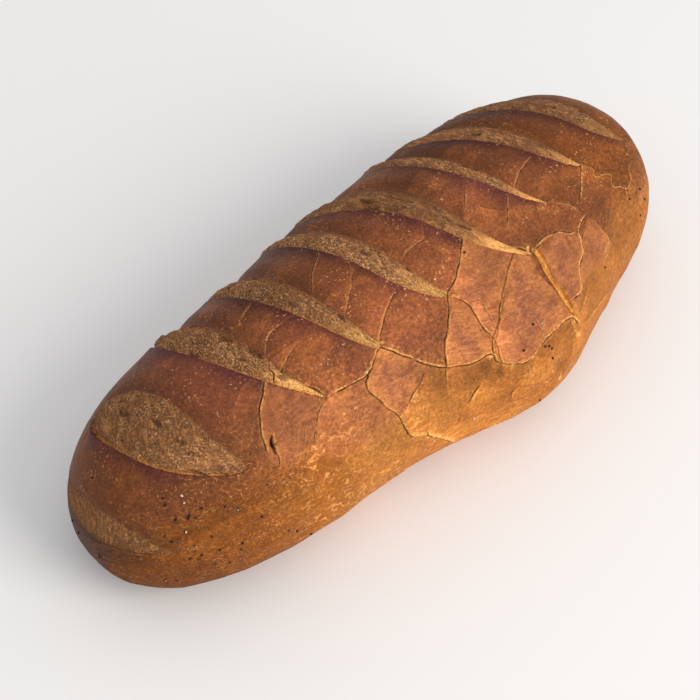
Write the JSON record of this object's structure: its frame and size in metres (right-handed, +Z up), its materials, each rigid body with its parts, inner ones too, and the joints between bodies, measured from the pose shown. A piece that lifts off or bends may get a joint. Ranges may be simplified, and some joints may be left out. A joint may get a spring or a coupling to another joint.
{
  "type": "white loaf",
  "caption": "Long white loaf lying on its flat base, with slanting slashes across the crown, a bulging front side, a torn crust and stray poppy seeds.",
  "frame": {"origin": "middle of the loaf's flat base", "axes": "+X along the loaf to its far end, +Y to its back, +Z up through the slashed crown"},
  "size_m": [0.3456, 0.1464, 0.0927],
  "materials": {
    "crust": "brown baked crust, glossy on the crown, with rough tan slash beds"
  },
  "bodies": {
    "root": {"loaf": "crust"}
  },
  "joints": []
}
